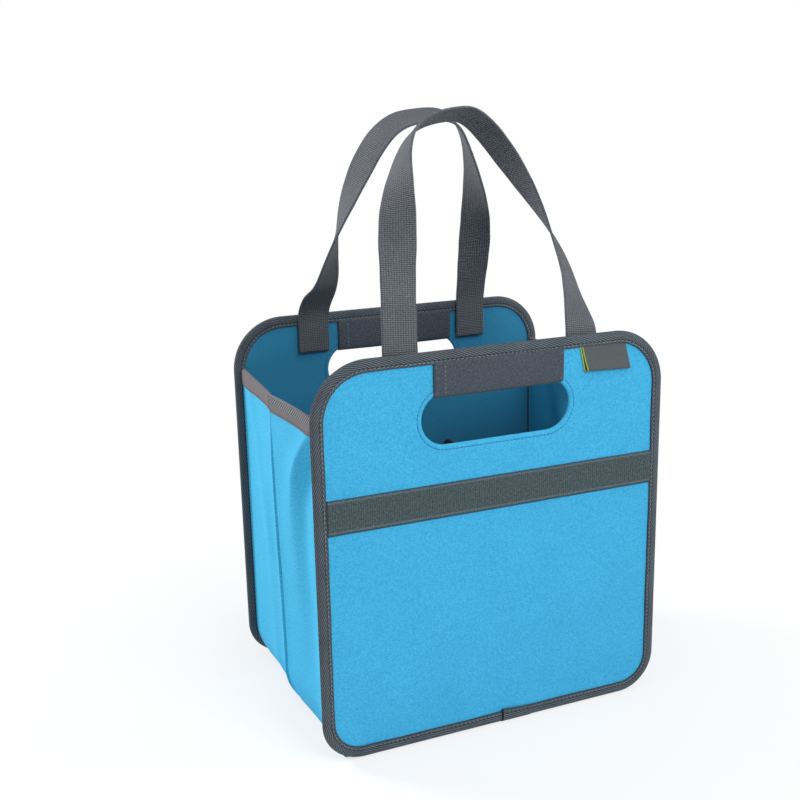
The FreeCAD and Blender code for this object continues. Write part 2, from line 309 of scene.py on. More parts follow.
def piece(name, verts, faces, lay, mat, replaces=(), smooth=True):
    """One mesh object in metres, riding on the bag, with its weave's own millimetres in lay."""
    mesh = bpy.data.meshes.new(name)
    mesh.from_pydata((np.asarray(verts, float) * M).tolist(), [], faces)
    mesh.validate()
    mesh.update()
    layer = mesh.attributes.new("lay", "FLOAT_VECTOR", "POINT")
    layer.data.foreach_set("vector", np.asarray(lay, np.float32).ravel())
    mesh.polygons.foreach_set("use_smooth", [smooth] * len(mesh.polygons))
    obj = bpy.data.objects.new(name, mesh)
    bpy.context.scene.collection.objects.link(obj)
    mesh.materials.append(mat)
    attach(obj, "root")
    if replaces:
        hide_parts(*replaces)
    return obj


def rows_to_faces(rows, cols, around=False, loop=False):
    """Quads over a grid of rows by cols; around joins each row's ends, loop the last row to the first."""
    faces = []
    for i in range(rows if loop else rows - 1):
        a, b = i * cols, (i + 1) % rows * cols
        for j in range(cols if around else cols - 1):
            k = (j + 1) % cols
            faces.append((a + j, a + k, b + k, b + j))
    if around and not loop:
        faces.append(tuple(range(cols))[::-1])
        faces.append(tuple((rows - 1) * cols + j for j in range(cols)))
    return faces


def ramp(x, start, end, floor=0.0):
    """From 0, or the floor, at start to 1 at end."""
    return np.clip((x - start) / (end - start), floor, 1)


def mirror_x(points):
    return np.asarray(points) * (-1, 1, 1)


def flipped(faces):
    return [f[::-1] for f in faces]


def swept(name, rows, lay, mat, nodes=(), flip=False):
    """Piece through closed sections, its two ends capped."""
    faces = rows_to_faces(len(rows), len(rows[0]), around=True)
    if flip:
        faces = flipped(faces)
    return piece(name, np.concatenate(rows), faces, np.concatenate(lay), mat, nodes)


def section_lay(at, across):
    """The weave's millimetres of one section, at so far along its piece."""
    return np.stack([np.full(len(across), at), across, np.zeros(len(across))], 1)


def lengths(points):
    """Length so far at each point of a line."""
    return np.concatenate([[0], np.cumsum(np.linalg.norm(np.diff(points, axis=0), axis=1))])


def read_off(at, far, points):
    """Places on a line of points, far being the length at each point."""
    return np.stack([np.interp(at, far, column) for column in points.T], 1)


def unit(vectors):
    return vectors / np.linalg.norm(vectors, axis=1)[:, None]


def along(points, step=None, count=None):
    """Even places along a line of points, with the direction there and the length so far."""
    points = np.asarray(points, float)
    far = lengths(points)
    if count is None:
        count = max(2, int(round(far[-1] / step)) + 1)
    at = np.linspace(0, far[-1], count)
    place = read_off(at, far, points)
    return place, unit(np.gradient(place, axis=0)), at


# A stitch's rings: place along its half length, share of its thickness, and how far it lies proud
RINGS = ((-1.0, 0.0, -0.9), (-0.8, 0.75, -0.25), (0.0, 1.0, 0.25), (0.8, 0.75, -0.25), (1.0, 0.0, -0.9))


def stitch_mesh(places, ahead, normal, half, thick):
    """Verts, faces and lay of a row of stitches that dip into the cloth at both ends."""
    sides = 6
    verts, faces, lay = [], [], []
    for p, t, n in zip(places, ahead, normal):
        n = n - t * (n @ t)
        n /= np.linalg.norm(n)
        b = np.cross(t, n)
        tilt = RNG.normal(0, 0.03)
        t = t * math.cos(tilt) + b * math.sin(tilt)
        b = np.cross(t, n)
        first = len(verts)
        for along_share, wide, lift in RINGS:
            centre = p + t * (along_share * half) + n * (lift * thick)
            if wide == 0.0:
                verts.append(centre)
                lay.append((along_share * half, 0, 0))
                continue
            for k in range(sides):
                a = 2 * math.pi * k / sides
                verts.append(centre + (b * math.cos(a) + n * math.sin(a)) * thick * wide)
                lay.append((along_share * half, k * 0.25, 0))
        ring = [first + 1 + sides * i for i in range(3)]
        last = first + 1 + 3 * sides
        for k in range(sides):
            j = (k + 1) % sides
            faces.append((first, ring[0] + j, ring[0] + k))
            faces.append((ring[0] + k, ring[0] + j, ring[1] + j, ring[1] + k))
            faces.append((ring[1] + k, ring[1] + j, ring[2] + j, ring[2] + k))
            faces.append((ring[2] + k, ring[2] + j, last))
    return verts, faces, lay


def stitch_piece(name, rows, mat, half, thick):
    """Several rows of stitches, each (places, ahead, normal), as one piece."""
    verts, faces, lay = [], [], []
    for places, ahead, normal in rows:
        v, f, w = stitch_mesh(places, ahead, normal, half, thick)
        base = len(verts)
        verts += v
        lay += w
        faces += [tuple(i + base for i in face) for face in f]
    return piece(name, verts, faces, lay, mat)


def stitch_row(points, normal, pitch):
    """Middles, directions and normals of stitches along a line."""
    places, ahead, _ = along(points, step=pitch)
    middle = (places[:-1] + places[1:]) / 2
    way = unit((ahead[:-1] + ahead[1:]) / 2)
    return middle, way, np.tile(np.asarray(normal, float), (len(middle), 1))


# --- Outline of a panel ---

def corner(cx, cz, radius, start):
    """Places and inward directions round a quarter circle, anticlockwise from start."""
    a = np.radians(np.linspace(start, start + 90, 40))
    inward = np.stack([-np.cos(a), -np.sin(a)], 1)
    return np.stack([cx + radius * np.cos(a), cz + radius * np.sin(a)], 1), inward


def outline(step):
    """Places (x, z), inward directions and lengths round the panel from the ribbon's lap."""
    arcs = [corner(HALF_W - LOW_R, LOW_R, LOW_R, -90), corner(HALF_W - TOP_R, TALL - TOP_R, TOP_R, 0),
            corner(TOP_R - HALF_W, TALL - TOP_R, TOP_R, 90), corner(LOW_R - HALF_W, LOW_R, LOW_R, 180)]
    start = [(LAP_X + LAP_LONG * 0.4, 0.0)], [(0.0, 1.0)]
    xz, inward = (np.concatenate(parts) for parts in zip(start, *arcs, start))
    far = lengths(xz)
    at = np.linspace(0, far[-1], int(far[-1] / step) + 1)
    return read_off(at, far, xz), unit(read_off(at, far, inward)), at


def corner_share(place):
    """1 in the middle of a rounded corner, 0 on the straights."""
    x, z = np.abs(place[:, 0]), place[:, 1]
    top = np.minimum(x - (HALF_W - TOP_R), z - (TALL - TOP_R)) / TOP_R
    low = np.minimum(x - (HALF_W - LOW_R), LOW_R - z) / LOW_R
    return np.clip(np.maximum(top, low) * 4, 0, 1)


# --- Stiff panels ---

# Rim of the hand hole: distance out from the hole's edge, and height of the cloth there
RIM = [(0.0, -1.5), (0.0, -0.95), (0.18, -0.4), (0.6, -0.02), (1.2, 0.24), (2.0, 0.32), (2.7, 0.22),
       (3.1, -0.02), (3.35, -0.16), (3.6, -0.02), (4.2, 0.14), (5.2, 0.16), (6.5, 0.12)]
RIM_STITCH = 3.35


def stadium(offset, count):
    """Places (x, z) round the hand hole, moved out by offset."""
    radius = HOLE_R + offset
    a = np.linspace(-90, 90, 60)
    right = [(HOLE_REACH + radius * math.cos(math.radians(k)), HOLE_Z + radius * math.sin(math.radians(k)))
             for k in a]
    left = [(-x, 2 * HOLE_Z - z) for x, z in right]
    loop = np.array(right + left + right[:1])
    edge = np.array([(HOLE_REACH + HOLE_R * math.cos(math.radians(k)), HOLE_R * math.sin(math.radians(k)))
                     for k in a])
    far = lengths(np.concatenate([edge, -edge, edge[:1]]))
    return read_off(np.linspace(0, far[-1], count, endpoint=False), far, loop)


def to_outline(points, inset):
    """Where rays from the hole's centre through the points meet the panel's outline."""
    place, way, _ = outline(1.0)
    edge = place + way * inset
    angles = np.unwrap(np.arctan2(edge[:, 1] - HOLE_Z, edge[:, 0]))
    wanted = np.arctan2(points[:, 1] - HOLE_Z, points[:, 0])
    wanted = np.mod(wanted - angles[0], 2 * math.pi) + angles[0]
    order = np.argsort(angles)
    return read_off(wanted, angles[order], edge[order])


def soft_wave(x, z):
    """A shallow unevenness of cloth on board, in millimetres."""
    return 0.10 * np.sin(x / 37 + 0.8) * np.sin(z / 45 + 0.3) + 0.05 * np.sin(x / 13 + z / 17)


def panel(name, side, node, mat):
    """Board in cloth with a rounded hand hole; side -1 is the front, 1 the back."""
    count, steps = 360, 26
    outer = to_outline(stadium(RIM[-1][0], count), 1.3)
    face = []
    for k in range(steps, 0, -1):
        share = (k / steps) ** 0.8
        xz = stadium(RIM[-1][0], count) * (1 - share) + outer * share
        lift = RIM[-1][1] * (1 - share) ** 2 + soft_wave(xz[:, 0], xz[:, 1]) * math.sin(math.pi * share)
        face.append((xz, lift))
    for offset, lift in RIM[::-1]:
        face.append((stadium(offset, count), np.full(count, lift)))
    rows, lay = [], []
    for back in (False, True):
        for xz, lift in (face[::-1][1:] if back else face):
            out = PANEL_HALF + lift
            y = side * (PANEL_MID + (-out if back else out))
            rows.append(np.stack([xz[:, 0], np.broadcast_to(y, (count,)), xz[:, 1]], 1))
            lay.append(np.stack([xz[:, 0], xz[:, 1], np.broadcast_to(y, (count,))], 1))
    verts = np.concatenate(rows)
    faces = rows_to_faces(len(rows), count, around=True, loop=True)
    if side > 0:
        faces = flipped(faces)
    return piece(name, verts, faces, np.concatenate(lay), mat, [node])


def hole_stitches(name, side, mat):
    """Thread round both faces of the hand hole."""
    rows = []
    for face in (1, -1):
        loop = stadium(RIM_STITCH, 360)
        loop = np.concatenate([loop, loop[:1]])
        y = side * (PANEL_MID + face * (PANEL_HALF + 0.02))
        line = np.stack([loop[:, 0], np.full(len(loop), y), loop[:, 1]], 1)
        rows.append(stitch_row(line, (0, side * face, 0), 2.9))
    return stitch_piece(name, rows, mat, half=1.1, thick=0.2)


# --- Ribbon round the panels ---

RIBBON_STITCH = 6.7
# Half of the folded ribbon: distance in from the panel's edge, and distance from its middle plane
RIBBON_OUT = [(8.5, 1.75), (8.5, 2.2), (8.3, 2.45), (7.8, 2.58), (7.2, 2.6), (6.7, 2.42), (6.2, 2.6),
              (5.2, 2.7), (4.0, 2.7), (3.0, 2.62), (2.0, 2.42), (1.2, 2.05), (0.6, 1.5), (0.2, 0.8),
              (0.0, 0.0)]
RIBBON_IN = [(1.0, 0.0), (1.15, 0.7), (1.6, 1.3), (2.4, 1.62), (4.0, 1.72), (6.5, 1.74)]


def ribbon_profile(extra=0.0):
    """The closed profile, front inner edge to back inner edge and back inside."""
    grow = [(n, h + extra) for n, h in RIBBON_OUT[:-1]] + [(-extra * 0.4, 0.0)]
    outer = grow + [(n, -h) for n, h in grow[-2::-1]]
    inner = [(n, -h) for n, h in RIBBON_IN[:0:-1]] + RIBBON_IN
    return np.array(outer + inner)


def ribbon(name, side, node, mat):
    """Folded ribbon swept round the whole panel, its two ends under the lap."""
    place, way, at = outline(2.0)
    bend = corner_share(place)
    profile = ribbon_profile()
    reach = lengths(profile)
    rows, lay = [], []
    for i in range(len(at)):
        pucker = bend[i] * 0.22 * math.sin(at[i] * 2 * math.pi / 5.3) + 0.06 * math.sin(at[i] / 9.0)
        waver = 0.16 * math.sin(at[i] / 23.0) + 0.1 * math.sin(at[i] / 7.3 + 1)
        inner_edge = ramp(profile[:, 0], 3, 8.5)
        n = profile[:, 0] + waver * inner_edge
        h = profile[:, 1] + pucker * np.sign(profile[:, 1]) * inner_edge
        xz = place[i] + way[i] * n[:, None]
        rows.append(np.stack([xz[:, 0], side * (PANEL_MID + h), xz[:, 1]], 1))
        lay.append(section_lay(at[i], reach))
    return swept(name, rows, lay, mat, [node], flip=side < 0)


def ribbon_lap(name, side, mat):
    """The ribbon's end, folded over its start at the bottom of the panel."""
    profile = ribbon_profile(LAP_FULL)
    reach = lengths(profile)
    rows, lay = [], []
    for share in np.linspace(0, 1, 15):
        x = LAP_X + LAP_LONG * share
        n = profile[:, 0] * (1.24 - 0.24 * share)
        settle = 1 - 0.75 * max(0.0, (share - 0.55) / 0.45)
        h = profile[:, 1] * (1 - 0.16 * (1 - settle))
        rows.append(np.stack([np.full(len(n), x), side * (PANEL_MID + h), np.maximum(n, -0.1)], 1))
        lay.append(section_lay(x, reach))
    return swept(name, rows, lay, mat, flip=side < 0)


def ribbon_stitches(name, side, mat):
    """Thread down both faces of the ribbon, near its inner edge."""
    rows = []
    place, way, at = outline(3.1)
    for face in (1, -1):
        xz = place + way * RIBBON_STITCH
        y = side * (PANEL_MID + face * 2.5)
        line = np.stack([xz[:, 0], np.full(len(at), y), xz[:, 1]], 1)
        rows.append(stitch_row(line, (0, side * face, 0), 3.1))
    return stitch_piece(name, rows, mat, half=1.05, thick=0.25)


# --- Sleeve, band and label ---

SLEEVE_X, SLEEVE_Z, SLEEVE_HALF = (-47.25, 50.25), (246.5, 271.0), 3.0


def sleeve(name, side, node, mat):
    """Padded cloth folded under the grip, a little fuller in the middle."""
    (low, high), half = SLEEVE_Z, SLEEVE_HALF
    outer = [(half, high)]
    for z in np.linspace(high - 2, low + half + 1, 9):
        outer.append((half + 0.35 * math.sin(math.pi * (high - z) / (high - low)), z))
    for a in np.linspace(0, 180, 13):
        outer.append((half * math.cos(math.radians(a)), low + half - half * math.sin(math.radians(a))))
    outer += [(-h, z) for h, z in outer[:10][::-1]]
    inner = [(-1.85, high), (-1.85, low + half), (-1.2, low + 1.7), (0.0, low + 1.25),
             (1.2, low + 1.7), (1.85, low + half), (1.85, high)]
    profile = np.array(outer + inner)
    reach = lengths(profile)
    rows, lay = [], []
    for share in np.linspace(0, 1, 61):
        x = SLEEVE_X[0] + (SLEEVE_X[1] - SLEEVE_X[0]) * share
        end = min(share, 1 - share)
        full = 1 - math.exp(-end * 45)
        ripple = 0.1 * math.sin(x / 5.1) * full
        h = profile[:, 0] * (0.93 + 0.07 * full) + np.sign(profile[:, 0]) * ripple * 0.4
        z = profile[:, 1] - 0.25 * math.sin(math.pi * share) * (profile[:, 1] < low + half)
        rows.append(np.stack([np.full(len(h), x), side * (PANEL_MID + h), z], 1))
        lay.append(section_lay(x, reach))
    return swept(name, rows, lay, mat, [node], flip=side > 0)


def sleeve_stitches(name, side, mat):
    """Thread across the sleeve: two rows at its left end and one at its right."""
    rows = []
    for x, h in ((SLEEVE_X[0] + 8.2, 3.2), (SLEEVE_X[0] + 1.7, 2.95), (SLEEVE_X[1] - 1.7, 2.95)):
        for face in (1, -1):
            y = side * (PANEL_MID + face * h)
            line = [(x, y, SLEEVE_Z[0] + 2.2), (x, y, SLEEVE_Z[1] - 2.4)]
            rows.append(stitch_row(line, (0, side * face, 0), 2.8))
    return stitch_piece(name, rows, mat, half=0.95, thick=0.2)


def band(name, node, mat):
    """Elastic across the front, its edges a little thicker than its middle."""
    low, high, reach = BAND_LOW, BAND_HIGH, BAND_REACH
    across = np.linspace(low, high, 25)
    edge = np.minimum(across - low, high - across)
    lift = 1.25 + 0.28 * np.exp(-((edge - 1.1) / 0.9) ** 2) - 0.85 * np.exp(-(edge / 0.35) ** 2)
    profile = np.concatenate([np.stack([lift, across], 1), [(0.1, high), (0.1, low)]])
    far = lengths(profile)
    rows, lay = [], []
    for x in np.linspace(-reach, reach, 160):
        bow = 0.25 * math.cos(x / reach * math.pi / 2)
        h = profile[:, 0] + 0.05 * np.sin(x / 4.0) + 0.1 * bow
        rows.append(np.stack([np.full(len(h), x), -(HALF_D - 1.2 + h), profile[:, 1]], 1))
        lay.append(section_lay(x, far))
    return swept(name, rows, lay, mat, [node])


# Label: left side and top, width and drop, how far its back layer lies off the cloth, how far the
# front one is shifted, and where along the strip the fold lies
LABEL_X, LABEL_Z, LABEL_WIDE, LABEL_DROP = 64.6, 270.4, 37.0, 17.2
LABEL_OFF, LABEL_SHIFT, LABEL_FOLD = 0.25, 1.6, (0.47, 0.53)


def label(name, node, mat):
    """Blank woven label, folded at the bottom, its front layer standing a little off the back one."""
    count, cols = 41, 25
    verts, lay = [], []
    face = HALF_D - 0.95
    start, end = LABEL_FOLD
    for s in np.linspace(0, 1, count):
        share = s / start if s < start else (1 - s) / start if s > end else 1.0
        turn = math.pi * ramp(s, start, end)
        stand = 0.35 + 1.9 * share ** 1.6
        out = LABEL_OFF + (stand - LABEL_OFF) * (1 - math.cos(turn)) / 2
        down = LABEL_DROP * share + 0.55 * math.sin(turn)
        share = down / LABEL_DROP
        shift = LABEL_SHIFT if s > 0.5 else 0.0
        skew = 3.6 * share + shift - 1.2
        for k in np.linspace(0, 1, cols):
            x = LABEL_X + LABEL_WIDE * k + skew - shift * k
            z = LABEL_Z - down - 1.6 * k * share - k ** 3 * (1 - share)
            curl = 0.35 * (1 - k) ** 3 * share
            verts.append((x, -(face + out + curl), z))
            lay.append((LABEL_WIDE * k, 40 * s, 0))
    obj = piece(name, verts, rows_to_faces(count, cols), lay, mat, [node])
    thick = obj.modifiers.new("thick", "SOLIDIFY")
    thick.thickness = 0.45 * M
    thick.offset = 0
    apply_modifiers(obj)
    return obj


def apply_modifiers(obj):
    graph = bpy.context.evaluated_depsgraph_get()
    done = bpy.data.meshes.new_from_object(obj.evaluated_get(graph))
    obj.modifiers.clear()
    old, obj.data = obj.data, done
    bpy.data.meshes.remove(old)


# --- Side walls ---

def end_inset(z):
    """How far in from the bag's side the wall's ends stand, more at the foot."""
    tuck = np.clip(1 - z / TUCK_TALL, 0, None)
    return WALL_INSET + TUCK_IN * tuck * tuck


def bump(x, centre, low_side, high_side):
    """A smooth hump with its own width on each side of its centre."""
    width = np.where(x < centre, low_side, high_side)
    return np.exp(-((x - centre) / width) ** 2)


def wall_x(y, z):
    """X of the left side wall's outer face, crease and two dips and all."""
    end = -HALF_W + end_inset(z)
    bulge = BULGE_LOW + BULGE_RISE * z / GUSSET_TOP
    away = np.sqrt(y * y + 0.5) - math.sqrt(0.5)
    t = np.clip(1 - away / WALL_END, 0, 1)
    dip = WALL_DIP - DIP_EASE * ramp(z, 195, 235) * (y > 0)
    return end - bulge * t + 4 * dip * t * (1 - t) + wall_folds(y, z)


# Soft fold down the front half: heights, where it lies, and how far it stands out
FOLD_Z = (40, 90, 140, 170, 190, 206, 217, 228, 240)
FOLD_Y = (-30, -26, -26, -31, -38, -49, -60, -71, -84)
FOLD_OUT = (0.0, 0.8, 1.7, 2.5, 3.3, 3.5, 3.0, 1.6, 0.0)


def wall_folds(y, z):
    """Inward from the plain wall: the pressed crease, a soft fold down from the hem's front end with
    the hollow beside it, a slanting fold and two facets behind the crease, and a hollow low in front."""
    fade = ramp(np.abs(y), WALL_END, WALL_END - 10)
    foot = ramp(z, 3, 17)
    calm = ramp(z, 240, 224, 0.2)
    low = ramp(z, 190, 130)
    crease = (1.45 + 0.35 * low) * ramp(z, 236, 196, 0.45) * bump(y, 1.2, 0.6, 6.0)
    beside = 0.4 * low * bump(y, -2.2, 3.0, 0.7)
    centre = np.interp(z, FOLD_Z, FOLD_Y)
    out = np.interp(z, FOLD_Z, FOLD_OUT)
    sharp = ramp(z, 150, 200)
    ridge = sharp * bump(y, centre, 1.6, 3.6) + out * bump(y, centre, 9.0 - 3.0 * sharp, 15.0)
    hollow = 1.4 * out * bump(y, centre - 17.0, 12.0, 9.0)
    slant = 1.3 * ramp(z, 70, 130) * bump(y, np.interp(z, (100, 225), (24, 64)), 8, 14)
    facets = 0.9 * ramp(z, 185, 135) * (bump(y, 17, 7, 9) - 0.8 * bump(y, 33, 6, 12))
    swell = 0.4 * np.sin(z / 41 + y / 25)
    front = 3.6 * bump(y, -48, 18, 30) * ramp(z, 160, 90)
    return ((hollow - ridge - slant + swell + facets) * calm + front - crease - beside) * foot * fade


def top_line(y):
    """Height of the wall's top edge: it sags at the crease and in the front half."""
    return GUSSET_TOP - CREASE_SAG * (1 - (y / HALF_D) ** 2) - 0.8 * bump(y, -62, 26, 24)


def gusset(name, side, node, mat):
    """Cloth side wall that turns under the base at its foot; side -1 is the left."""
    ys = np.linspace(-WALL_END, WALL_END, 111)
    ys = np.unique(np.concatenate([ys, np.linspace(-4.2, 4.6, 23)]))
    cols = len(ys)
    outer, inner = [], []
    for share in np.concatenate([np.linspace(0, 0.03, 14)[:-1], np.linspace(0.03, 1, 90)]):
        z = FOOT_R + share * (top_line(ys) - 0.4 - FOOT_R)
        x = wall_x(ys, z)
        outer.append(np.stack([x, ys, z], 1))
        inner.append(np.stack([x + SHEET_T, ys, z], 1))
    start = wall_x(ys, np.full(cols, FOOT_R))
    for a in (75, 50, 25, 0):
        c, s = math.cos(math.radians(a)), math.sin(math.radians(a))
        x = start + FOOT_R * (1 - s)
        outer.insert(0, np.stack([x, ys, np.full(cols, FOOT_R + 0.1 - FOOT_R * c)], 1))
        inner.insert(0, np.stack([x + 1.1 * s, ys, np.full(cols, FOOT_R + 0.3 - 2.0 * c)], 1))
    for sheet in (outer, inner):
        sheet.insert(0, sheet[0] + (FOOT_LONG, 0, 0))
    rows = outer + inner[::-1]
    ups = lengths(np.array([row[cols // 4] for row in rows]))
    lay = [np.stack([ys, np.full(cols, up), np.zeros(cols)], 1) for up in ups]
    verts = np.concatenate(rows)
    faces = rows_to_faces(len(rows), cols, loop=True)
    half = len(outer)
    for j in (0, cols - 1):
        for i in range(half - 1):
            a, b = i * cols + j, (i + 1) * cols + j
            c, d = (len(rows) - 2 - i) * cols + j, (len(rows) - 1 - i) * cols + j
            faces.append((a, b, c, d) if j else (d, c, b, a))
    if side > 0:
        verts = mirror_x(verts)
    else:
        faces = flipped(faces)
    return piece(name, verts, faces, np.concatenate(lay), mat, [node])


def hem_drop(y):
    """How far the hem's lower edge lies below its top: less behind the crease."""
    rear = HEM_REAR + 2.4 * ramp(y, 0, 60)
    return HEM_TALL + (rear - HEM_TALL) * ramp(y, -0.6, 0.6)


def hem(name, side, node, mat):
    """Ribbon folded over the side wall's top edge."""
    ys = np.linspace(-WALL_END + 0.1, WALL_END - 0.1, 121)
    cover, body, lower = HEM_COVER, HEM_BODY, HEM_TALL
    path = [(-cover, d) for d in np.linspace(-lower, -0.5, 9)]
    over = (body + 2 * cover) / 2
    for a in np.linspace(165, 15, 7):
        c, s = math.cos(math.radians(a)), math.sin(math.radians(a))
        path.append((-cover + over + over * c, 0.15 + s))
    path += [(body + cover, d) for d in np.linspace(-0.5, -lower, 9)]
    inner = [(body + 0.25, -lower), (body + 0.25, -1.0), (body / 2, -0.2), (-0.25, -1.0), (-0.25, -lower)]
    profile = np.array(path + inner)
    reach = lengths(profile)
    rows, lay = [], []
    for y in ys:
        top = top_line(y)
        z = top + profile[:, 1]
        ripple = 0.18 * math.sin(y / 6.5) + 0.1 * math.sin(y / 2.7)
        low_share = np.clip(-profile[:, 1] / lower, 0, 1)
        z = z + (HEM_TALL - hem_drop(y)) * low_share
        x = wall_x(np.full(len(z), y), np.minimum(z, GUSSET_TOP)) + profile[:, 0]
        x = x + ripple * low_share * np.where(profile[:, 0] < body / 2, -1, 1) * 0.6
        rows.append(np.stack([x, np.full(len(z), y), z], 1))
        lay.append(section_lay(y, reach))
    if side > 0:
        rows = [mirror_x(row) for row in rows]
    return swept(name, rows, lay, mat, [node], flip=side > 0)


def hem_stitches(name, side, mat):
    """Thread along both faces of the hem, just above its lower edge."""
    rows = []
    ys = np.linspace(-WALL_END + 2, WALL_END - 2, 200)
    z = top_line(ys) - hem_drop(ys) + 1.4
    for out, way in ((-HEM_COVER - 0.2, -1), (HEM_BODY + HEM_COVER + 0.2, 1)):
        x = wall_x(ys, z) + out
        line = np.stack([x, ys, z], 1)
        if side > 0:
            line, way = mirror_x(line), -way
        rows.append(stitch_row(line, (way, 0, 0), 2.9))
    return stitch_piece(name, rows, mat, half=0.95, thick=0.2)


# --- Handles ---

# Each handle's line as shares: across the half spacing, inward of the seam, up the rise.
# The turns are shares of the way to the middle, for the left and the right leg.
FRONT_LINE = [(-0.88, 0.28, 0.59), (-0.52, 0.77, 0.88), (0.1, 0.89, 0.92),
              (0.41, 0.93, 0.92), (1.32, 0.85, 0.36), (1.13, 0.32, 0.15)]
BACK_LINE = [(-0.94, 0.33, 0.14), (-1.09, 0.78, 0.38), (-0.58, 0.94, 0.9),
             (-0.05, 0.9, 0.91), (0.5, 0.73, 0.93), (1.0, 0.28, 0.47)]
FRONT_TURNS = ((0.21, 0.82), (0.0, 0.84))
BACK_TURNS = ((0.03, 0.77), (0.0, 0.79))
STRAP_LIFT = 8.0
TURN = math.radians(112)
SEWN_STEPS = 12
# Seam that holds a handle's end: heights of its rows and how far they reach each way
SEAM_ROWS, SEAM_REACH = (251.5, 254.5, 266.0), 10.5


def handle_poles(line, side):
    """Poles of a handle's centre line, straight up from the panel at both ends."""
    seam = side * STRAP_PLANE
    low, high = TALL - STRAP_FREE, TALL + STRAP_LIFT
    poles = [(-STRAP_HALF, seam, low), (-STRAP_HALF, seam, high)]
    for across, inward, up in line:
        poles.append((across * STRAP_HALF, seam - side * inward * STRAP_REACH, TALL + up * STRAP_RISE))
    return np.array(poles + [(STRAP_HALF, seam, high), (STRAP_HALF, seam, low)])


def spline(poles, count):
    """Points of the clamped cubic curve with these poles."""
    n, k = len(poles), 3
    knots = np.concatenate([[0] * k, np.linspace(0, 1, n - k + 1), [1] * k])
    out = []
    for u in np.linspace(0, 1 - 1e-9, count):
        span = int(np.searchsorted(knots, u, side="right") - 1)
        d = [poles[span - k + j].copy() for j in range(k + 1)]
        for r in range(1, k + 1):
            for j in range(k, r - 1, -1):
                i = span - k + j
                a = (u - knots[i]) / (knots[i + k - r + 1] - knots[i])
                d[j] = (1 - a) * d[j - 1] + a * d[j]
        out.append(d[k])
    return np.array(out)


def strap_stations(line, turns, side):
    """Places, across and through directions and lengths down the whole strip of webbing."""
    places, ahead, at = along(spline(handle_poles(line, side), 900), count=261)
    half = at[-1] / 2
    across, through = [], []
    for i in range(len(at)):
        t = ahead[i]
        out = np.cross(t, (0, 1, 0))
        out /= np.linalg.norm(out)
        inward = np.cross(out, t) * -side
        start, end = turns[0] if at[i] < half else turns[1]
        step = ramp(min(at[i], at[-1] - at[i]) / half, start, end)
        turn = TURN * step * step * (3 - 2 * step)
        a = out * math.cos(turn) + inward * math.sin(turn)
        across.append(a)
        through.append(np.cross(t, a))
    sewn = STRAP_SEAM - STRAP_FREE
    down = np.linspace(sewn, 2, SEWN_STEPS)
    left = [places[0] - (0, 0, d) for d in down]
    right = [places[-1] - (0, 0, d) for d in down[::-1]]
    places = np.array(left + list(places) + right)
    across, through = (np.array([way[0]] * SEWN_STEPS + way + [way[-1]] * SEWN_STEPS)
                       for way in (across, through))
    return places, across, through, lengths(places)


def handle(name, line, turns, side, node, mat):
    """Webbing with firm rounded edges, twisted along its way."""
    places, across, through, at = strap_stations(line, turns, side)
    w, t = STRAP_W / 2, STRAP_T / 2
    half = [(-w, 0.0), (-w + 0.15, t * 0.55), (-w + 0.7, t * 0.95), (-w + 1.6, t), (-w + 2.6, t * 0.86)]
    half += [(k, t * 0.9) for k in np.linspace(-w + 5, w - 5, 7)]
    half += [(-a, b) for a, b in half[4::-1]]
    profile = np.array(half + [(a, -b) for a, b in half[-2:0:-1]])
    rows, lay = [], []
    for i in range(len(places)):
        wave = 0.12 * math.sin(at[i] / 8.0)
        rim = np.sign(profile[:, 0]) * (abs(profile[:, 0]) > w - 1)
        a = profile[:, 0] + 0.1 * math.sin(at[i] / 3.7) * rim
        b = profile[:, 1] + wave * (1 - (profile[:, 0] / w) ** 2)
        rows.append(places[i] + across[i] * a[:, None] + through[i] * b[:, None])
        lay.append(section_lay(at[i], profile[:, 0] + 40))
    return swept(name, rows, lay, mat, [node])


def seam_stitches(name, mat):
    """Rows of thread that hold the handles' ends behind the panels."""
    rows = []
    for side in (-1, 1):
        y = side * (STRAP_PLANE - STRAP_T / 2 - 0.05)
        for middle in (-STRAP_HALF, STRAP_HALF):
            left, right = middle - SEAM_REACH, middle + SEAM_REACH
            lines = [[(left, y, z), (right, y, z)] for z in SEAM_ROWS]
            lines += [[(x, y, SEAM_ROWS[0] + 1), (x, y, SEAM_ROWS[-1])] for x in (left, right)]
            rows += [stitch_row(line, (0, -side, 0), 2.7) for line in lines]
    return stitch_piece(name, rows, mat, half=0.95, thick=0.22)


# --- Base and dividers ---

# Dividers: foot, top, corner radius, thickness, half their slots' width and where the slots meet
DIV_LOW, DIV_TOP, DIV_CORNER, DIV_T, DIV_SLOT, LAP_HEIGHT = 4.2, 165.0, 14.0, 3.0, 1.8, 84.5
CELL_X, CROSS_REACH = 42.775, 86.0
BASE_X, BASE_Y, BASE_MID, BASE_T = 114.2, 86.1, 2.4, 3.2


